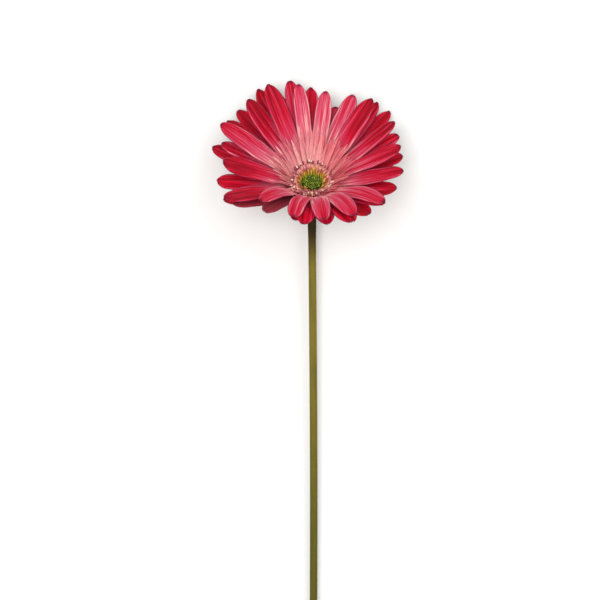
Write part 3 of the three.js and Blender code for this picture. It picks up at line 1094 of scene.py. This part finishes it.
def bract_material(settings):
    """Downy green scale with a paler rim and a dark tip."""
    down_look = sheen(0.3, 0.5, (0.85, 0.9, 0.7))
    material, tree = new_material("Downy green bract", 0.62, down_look)
    lane, share, _ = carried(tree, "blade")
    _, tone = kind_and_tone(tree)
    # On a scale 4 mm wide and 16 mm long the down is 0.2 mm across and 0.7 mm along, and it is
    # moved on for each copy.
    scale = add(tree, "ShaderNodeAttribute", output="Vector", attribute_name="blade")
    on = add(tree, MATH, tone, 60.0, operation="MULTIPLY")
    shift = add(tree, "ShaderNodeCombineXYZ", 0.0, 0.0, on)
    moved = add(tree, "ShaderNodeVectorMath", scale, shift)
    down = grained(tree, moved, (11.0, 22.0, 1.0), 4.0)
    middle = add(tree, MATH, lane, operation="ABSOLUTE")
    colour = layered(
        tree,
        settings.bract_colour,
        ("#76823d", tone),
        ("#98a268", middle, 0.5, 1.0, 0.0, 0.6),
        ("#42511d", middle, 0.0, 0.2, 0.5, 0.0),
        ("#4a2a1f", share, 0.82, 1.0, 0.0, 0.8),
        ("#c3c79f", down, 0.45, 0.7, 0.0, 0.3),
    )
    return painted(material, colour, down, 0.4, 0.15)


class GERBERA_OT_bracts(bpy.types.Operator):
    """Makes the two rows of downy scales under the rays"""

    bl_idname = "gerbera.bracts"
    bl_label = "Bracts"

    def execute(self, context):
        settings = context.scene.gerbera_greens
        material = bract_material(settings)
        rows = {
            "inner_bracts": [(3.6, -10.2), (6.8, -8.9), (12.2, -6.2), (13.9, -3.6), (15.1, -1.2)],
            "outer_bracts": [(3.5, -11.4), (7.2, -10.3), (13.1, -7.6), (15.3, -4.7), (16.6, -2.4)],
        }
        widths = [0.6, 1.1, 1.55, 1.85, 1.95, 1.8, 1.45, 0.95, 0.15]
        for row, (node, line) in enumerate(rows.items()):
            foot_out, foot_up = line[0]
            local = [(out - foot_out, up - foot_up) for out, up in line]
            piece = ringed(
                f"{node}_row",
                blade_template("bract_template", local, widths, 0.45, 0.15, rows=16),
                material,
                settings.bracts,
                [(foot_out, foot_up, 0, 0, 0.07)],
                (2.5, 2),
                seed=11 + row,
                start=0.5 * row,
            )
            finish_piece(piece, [node])
        return {"FINISHED"}


def receptacle_material(settings):
    """Firm green flesh of the bed under the flower, mottled in patches of 2.5 mm."""
    material, tree = new_material("Firm green receptacle", 0.6)
    mottle = speckled(tree, 0.4, 5.0)
    colour = layered(tree, "#46531f", (settings.bract_colour, mottle, 0.35, 0.7))
    return painted(material, colour, mottle, 0.4, 0.2)


class GERBERA_OT_receptacle(bpy.types.Operator):
    """Finishes the green bed that carries the whole head"""

    bl_idname = "gerbera.receptacle"
    bl_label = "Receptacle"

    def execute(self, context):
        material = receptacle_material(context.scene.gerbera_greens)
        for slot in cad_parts["receptacle"].material_slots:
            slot.material = material
        return {"FINISHED"}


def stalk_centre(distance, head):
    """The stalk's centreline in millimetres, at a distance from its upper end."""
    tilt = math.radians(HEAD_TILT)
    straight = min(distance, NECK_LENGTH)
    centre = head - HEAD_AXIS * (RECEPTACLE["depth"] + JOINT_GAP + straight)
    bent = min(max((distance - NECK_LENGTH) / NECK_BEND, 0), tilt)
    centre.y -= NECK_BEND * (math.sin(tilt) - math.sin(tilt - bent))
    centre.z -= NECK_BEND * (math.cos(tilt - bent) - math.cos(tilt))
    run = max(0, distance - NECK_LENGTH - NECK_BEND * tilt)
    share = run / STALK_REACH
    centre.x += STALK_BOW * math.sin(math.pi * share)
    centre.y -= run
    centre.z += (STALK_RADII["cut"] - centre.z) * share**2 * (3 - 2 * share)
    return centre


def stalk_piece():
    """The stalk with its faint ribs, and the pith in its cut face."""
    SIDES, RINGS, RIBS = 40, 230, 9
    RIB_DEPTH = 0.025
    neck, middle, cut = STALK_RADII.values()
    head = HEAD.translation / MM
    length = NECK_LENGTH + NECK_BEND * math.radians(HEAD_TILT) + STALK_REACH
    points, skins = [], []
    for i in range(RINGS + 1):
        distance = length * (i / RINGS) ** 1.25
        centre = stalk_centre(distance, head)
        ahead = stalk_centre(min(distance + 0.1, length), head)
        along = (ahead - stalk_centre(distance - 0.1, head)).normalized()
        across = (Vector((1, 0, 0)) - along * along.x).normalized()
        above = along.cross(across)
        swell = 1 - float(smooth(distance / NECK_SWELL))
        even = middle + (cut - middle) * (distance / length)
        radius = even + (neck - middle) * swell
        slant = CUT_SLANT if i == RINGS else 0
        for j in range(SIDES):
            turn = FULL_TURN * j / SIDES
            rib = RIB_DEPTH * math.cos(RIBS * turn + 0.012 * distance)
            reach = radius * (1 - RIB_DEPTH + rib)
            height = math.sin(turn) * reach
            offset = across * math.cos(turn) * reach + above * height - along * slant * height
            points.append(centre + offset)
            skins.append((turn * radius, distance, 0))
    faces = tube_faces(RINGS + 1, SIDES)[:-1]
    # The cut face: a rim of skin, a ring of paler flesh and a sunken middle.
    end = centre
    rings = [(0.86, 0.0, 1.0), (0.5, -0.15, 2.0), (0.2, -0.5, 3.0)]
    outline = [Vector(p) for p in points[-SIDES:]]
    for size, depth, kind in rings:
        base = len(points)
        for j, corner in enumerate(outline):
            wander = 1 + 0.05 * math.sin(5 * j + kind)
            points.append(end + (corner - end) * size * wander + along * depth)
            skins.append((j * 0.3, length, kind))
        for j in range(SIDES):
            nxt = (j + 1) % SIDES
            faces.append((base - SIDES + j, base - SIDES + nxt, base + nxt, base + j))
    faces.append(tuple(len(points) - SIDES + j for j in range(SIDES)))
    flat = np.array([tuple(p) for p in points]) * MM
    return new_object("stalk_skin", flat, faces, {"skin": np.array(skins)})


def stalk_material(settings):
    """Olive stalk with fine long fibres, and pale pith where it is cut. Under the head it is dark
    brown, partly its own colour and partly painted shade of the head.
    """
    soft = flesh(0.05, 1, (0.6, 1.0, 0.2))
    material, tree = new_material("Olive stalk skin", 0.6, soft, specular=0.1)
    _, distance, kind = carried(tree, "skin")
    # In grains to the metre: fibres 0.4 mm wide and 17 mm long, which show only close up, and
    # blotches of 7 by 40 mm.
    place = add(tree, "ShaderNodeTexCoord", output="Object")
    fibres = grained(tree, place, (2600.0, 60.0, 2600.0))
    blotches = grained(tree, place, (150.0, 25.0, 150.0))
    # Dark brown for the first 20 mm under the head, partly its own colour and partly painted shade
    # of the head, then olive.
    colour = layered(
        tree,
        settings.neck_and_shade_colour,
        (settings.stalk_colour, distance, 20.0, 46.0),
        ("#545016", distance, 60.0, 230.0, 0.0, 0.9),
        ("#877c34", fibres, 0.5, 0.75, 0.0, 0.3),
        ("#4c4a1e", blotches, 0.5, 0.75, 0.0, 0.45),
        (layered(tree, settings.pith_colour, ("#dfe0b8", kind, 1.6, 2.8)), kind, 0.3, 0.9),
    )
    return painted(material, colour, fibres, 0.35, 0.12)


class GERBERA_OT_stalk(bpy.types.Operator):
    """Makes the ribbed stalk with its cut face"""

    bl_idname = "gerbera.stalk"
    bl_label = "Stalk"

    def execute(self, context):
        piece = stalk_piece()
        check_fit(piece, "stalk", slack=0.5 * MM)
        material = stalk_material(context.scene.gerbera_greens)
        finish_piece(piece, ["stalk"], material)
        return {"FINISHED"}


# ---- Stage ----


def floor_material(settings):
    """Plain pale paper."""
    colour = {"Base Color": rgba(settings.floor_colour)}
    return new_material("Plain pale paper", 0.9, colour)[0]


class GERBERA_OT_stage(bpy.types.Operator):
    """Sets up the floor, the soft lights and the camera that looks down on the flower"""

    bl_idname = "gerbera.stage"
    bl_label = "Stage"

    def execute(self, context):
        settings = context.scene.gerbera_stage
        self.floor(settings)
        self.lights(context.scene)
        self.camera(context.scene, settings)
        return {"FINISHED"}

    def floor(self, settings):
        REACH = 4.0
        corners = [(-REACH, -REACH, 0), (REACH, -REACH, 0), (REACH, REACH, 0), (-REACH, REACH, 0)]
        floor = new_object("floor", corners, [(0, 1, 2, 3)])
        floor.data.materials.append(floor_material(settings))

    def lights(self, scene):
        """A white room and two soft lamps, each with its offset from the head, size and power."""
        ROOM_STRENGTH = 0.72
        LAMPS = {"key": ((-0.35, -0.1, 1.5), 0.9, 11.6), "fill": ((0.8, 0.2, 1.3), 1.2, 5)}
        scene.view_settings.view_transform = "Standard"
        world = bpy.data.worlds.new("Soft white room")
        world.use_nodes = True
        background = world.node_tree.nodes["Background"]
        background.inputs["Color"].default_value = (1, 1, 1, 1)
        background.inputs["Strength"].default_value = ROOM_STRENGTH
        scene.world = world
        for name, (offset, size, power) in LAMPS.items():
            light = bpy.data.lights.new(name, "AREA")
            light.size = size
            light.energy = power
            lamp = bpy.data.objects.new(name, light)
            lamp.location = HEAD.translation + Vector(offset)
            lamp.rotation_euler = (-Vector(offset)).to_track_quat("-Z", "Y").to_euler()
            scene.collection.objects.link(lamp)

    def camera(self, scene, settings):
        """Straight above the upper stalk, so that the head stands high in the view."""
        SENSOR = 36
        MIDDLE = Vector((-0.0072, -0.0683, 0))
        camera = bpy.data.cameras.new("camera")
        camera.sensor_width = SENSOR
        camera.lens = SENSOR * settings.camera_height / settings.view_width
        camera.clip_end = 20
        viewer = bpy.data.objects.new("camera", camera)
        viewer.location = HEAD.translation + MIDDLE + Vector((0, 0, settings.camera_height))
        scene.collection.objects.link(viewer)
        scene.camera = viewer


class GERBERA_PT_panel(bpy.types.Panel):
    """Lists the steps that finish the flower"""

    bl_idname = "GERBERA_PT_panel"
    bl_label = "Cut gerbera"
    bl_space_type = "VIEW_3D"
    bl_region_type = "UI"
    bl_category = "Gerbera"

    def draw(self, context):
        scene = context.scene
        for settings, operators in STEPS.items():
            box = self.layout.box()
            group = getattr(scene, settings)
            for name in group.__annotations__:
                box.prop(group, name)
            for operator in operators:
                box.operator(operator.bl_idname)


SETTINGS = {
    "gerbera_stage": StageSettings,
    "gerbera_greens": GreenSettings,
    "gerbera_rays": RaySettings,
    "gerbera_disc": DiscSettings,
}
STEPS = {
    "gerbera_stage": [GERBERA_OT_stage],
    "gerbera_greens": [GERBERA_OT_stalk, GERBERA_OT_receptacle, GERBERA_OT_bracts],
    "gerbera_rays": [GERBERA_OT_outer_rays, GERBERA_OT_inner_rays],
    "gerbera_disc": [GERBERA_OT_short_rays, GERBERA_OT_disc_florets, GERBERA_OT_buds],
}
OPERATORS = [operator for operators in STEPS.values() for operator in operators]


def register():
    for cls in (*SETTINGS.values(), *OPERATORS, GERBERA_PT_panel):
        bpy.utils.register_class(cls)
    for name, cls in SETTINGS.items():
        setattr(bpy.types.Scene, name, PointerProperty(type=cls))


def unregister():
    for name in SETTINGS:
        delattr(bpy.types.Scene, name)
    for cls in (GERBERA_PT_panel, *reversed(OPERATORS), *SETTINGS.values()):
        bpy.utils.unregister_class(cls)


def main():
    register()
    bpy.ops.gerbera.stage()
    bpy.ops.gerbera.stalk()
    bpy.ops.gerbera.receptacle()
    bpy.ops.gerbera.bracts()
    bpy.ops.gerbera.outer_rays()
    bpy.ops.gerbera.inner_rays()
    bpy.ops.gerbera.short_rays()
    bpy.ops.gerbera.disc_florets()
    bpy.ops.gerbera.buds()


if __name__ == "__main__":
    main()
